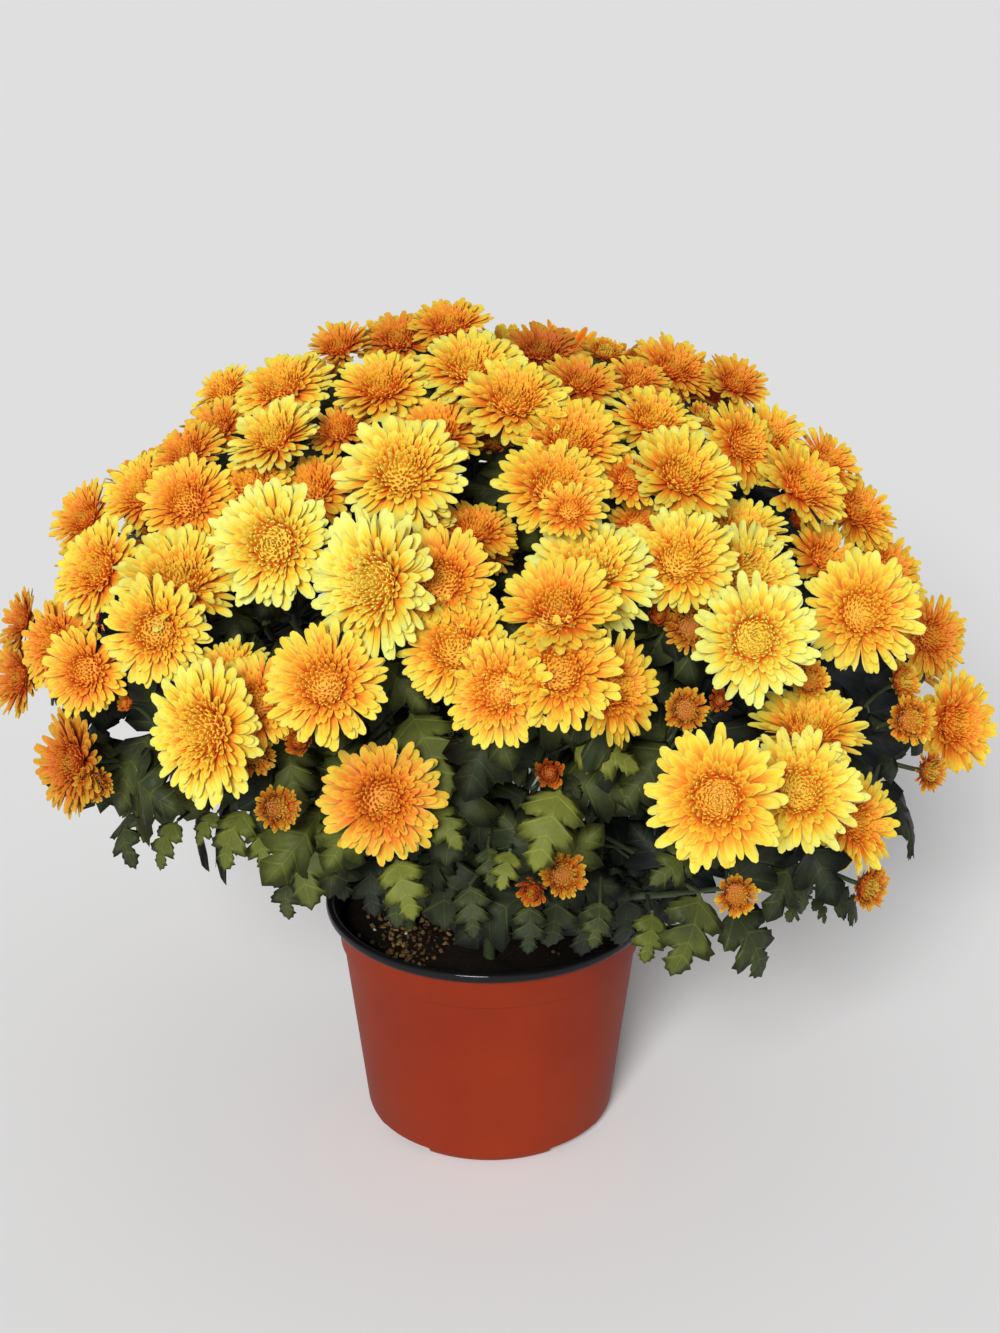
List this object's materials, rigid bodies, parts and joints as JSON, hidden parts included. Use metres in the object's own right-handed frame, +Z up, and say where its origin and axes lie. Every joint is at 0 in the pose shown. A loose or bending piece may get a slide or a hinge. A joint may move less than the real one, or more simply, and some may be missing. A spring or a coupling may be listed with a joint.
{
  "type": "potted chrysanthemum",
  "caption": "Dome of double yellow and orange chrysanthemum blooms on leafy stems, growing in a round tapered plastic pot with a rolled rim.",
  "frame": {"origin": "centre of the pot's flat foot, on the surface that it stands on", "axes": "+Z up along the pot's axis, -Y towards the front of the plant, +X to its right seen from the front"},
  "size_m": [0.4346, 0.4098, 0.3789],
  "materials": {
    "pot": "thin formed plastic sheet, terracotta outside with a satin sheen, black inside and over the rim",
    "soil": "dark peat compost with bark and a few white grains",
    "leafy_stems": "dark green matte leaves with lighter veins, green stems and calyxes",
    "blooms": "soft petals, lemon to golden yellow with orange bases and reddish-orange backs"
  },
  "bodies": {
    "root": {"pot": "pot", "soil": "soil", "leafy_stems_1": "leafy_stems", "leafy_stems_2": "leafy_stems", "leafy_stems_3": "leafy_stems", "leafy_stems_4": "leafy_stems", "leafy_stems_5": "leafy_stems", "blooms_01": "blooms", "blooms_02": "blooms", "blooms_03": "blooms", "blooms_04": "blooms", "blooms_05": "blooms", "blooms_06": "blooms", "blooms_07": "blooms", "blooms_08": "blooms", "blooms_09": "blooms", "blooms_10": "blooms", "blooms_11": "blooms", "blooms_12": "blooms", "blooms_13": "blooms", "blooms_14": "blooms", "blooms_15": "blooms", "blooms_16": "blooms", "blooms_17": "blooms", "blooms_18": "blooms", "blooms_19": "blooms", "blooms_20": "blooms", "blooms_21": "blooms", "blooms_22": "blooms", "blooms_23": "blooms", "blooms_24": "blooms", "blooms_25": "blooms", "blooms_26": "blooms", "blooms_27": "blooms", "blooms_28": "blooms", "blooms_29": "blooms", "blooms_30": "blooms", "blooms_31": "blooms", "blooms_32": "blooms", "blooms_33": "blooms", "blooms_34": "blooms", "blooms_35": "blooms", "blooms_36": "blooms", "blooms_37": "blooms", "blooms_38": "blooms", "blooms_39": "blooms", "blooms_40": "blooms", "blooms_41": "blooms", "blooms_42": "blooms", "blooms_43": "blooms", "blooms_44": "blooms", "blooms_45": "blooms", "blooms_46": "blooms", "blooms_47": "blooms", "blooms_48": "blooms", "blooms_49": "blooms"}
  },
  "joints": []
}
